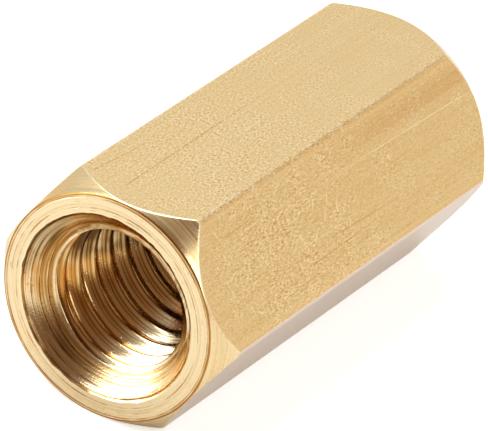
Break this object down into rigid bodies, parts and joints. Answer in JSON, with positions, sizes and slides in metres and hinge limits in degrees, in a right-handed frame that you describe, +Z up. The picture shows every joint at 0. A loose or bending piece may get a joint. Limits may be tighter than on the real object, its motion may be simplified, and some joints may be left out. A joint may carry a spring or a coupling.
{
  "type": "hex standoff",
  "caption": "Hexagon brass spacer with chamfered ends and a countersunk hole tapped right through, for holding two plates or boards a fixed distance apart.",
  "frame": {"origin": "middle of the flat that the standoff lies on, half way along it", "axes": "+X along the tapped hole, towards the end that faces away in the picture; +Z up, out of the upper flat; +Y towards a corner of the hexagon"},
  "size_m": [0.015, 0.008, 0.007],
  "materials": {
    "brass": "drawn satin flats, turned ends, bright cut thread"
  },
  "bodies": {
    "root": {"hex_standoff": "brass"}
  },
  "joints": []
}
